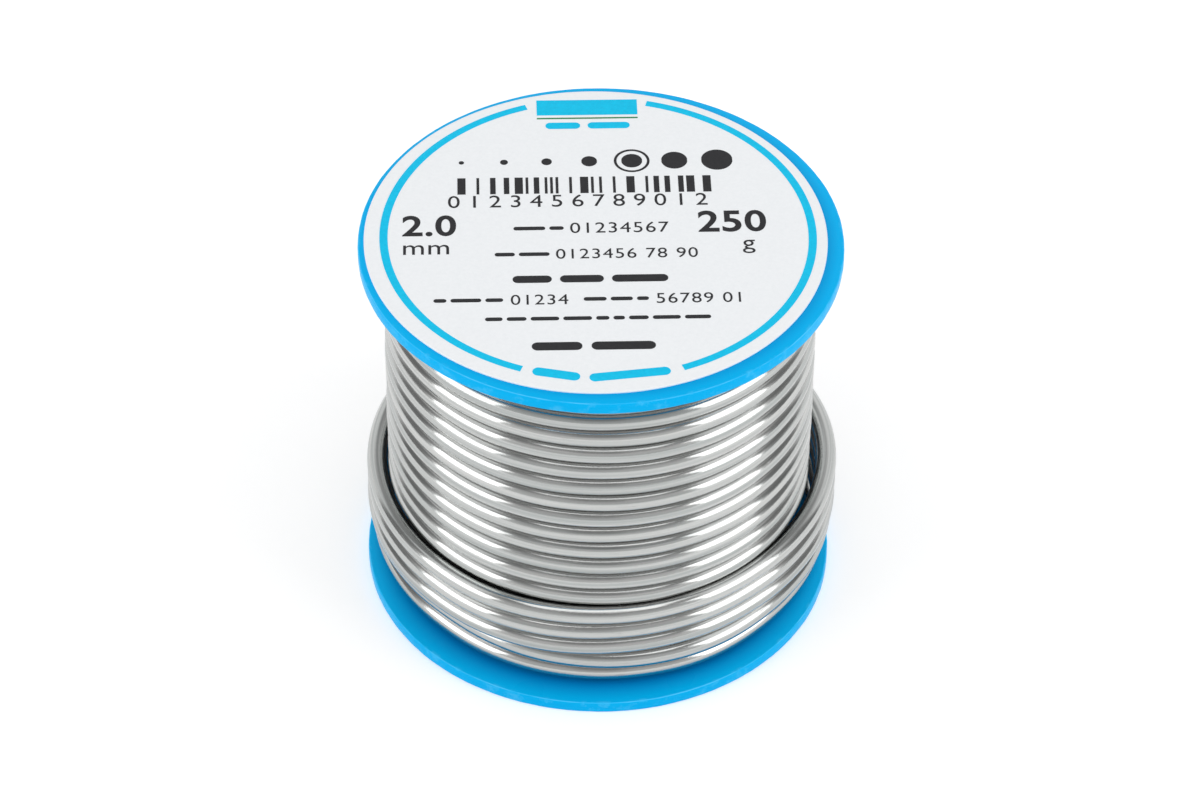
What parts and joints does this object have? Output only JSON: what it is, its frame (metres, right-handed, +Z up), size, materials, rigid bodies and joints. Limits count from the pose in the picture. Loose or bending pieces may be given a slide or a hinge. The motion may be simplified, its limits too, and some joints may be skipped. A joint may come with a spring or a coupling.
{
  "type": "solder wire spool",
  "caption": "Small moulded plastic spool with a paper disc on its upper flange, wound with soft solder wire in layers; the last turns of the outermost layer have come loose.",
  "frame": {"origin": "centre of the lower flange's outer face, which the spool stands on", "axes": "+Z up along the spool's axis; -Y is the front, +X to the right seen from the front"},
  "size_m": [0.0457, 0.0471, 0.0402],
  "materials": {
    "spool_plastic": "moulded, satin gloss",
    "label_paper": "coated paper, satin",
    "solder": "drawn soft solder wire, bright with fine lengthwise drawing lines"
  },
  "bodies": {
    "root": {"lower_half": "spool_plastic", "upper_half": "spool_plastic", "label": "label_paper", "inner_layers": "solder", "winding": "solder", "wire_start": "solder"}
  },
  "joints": []
}
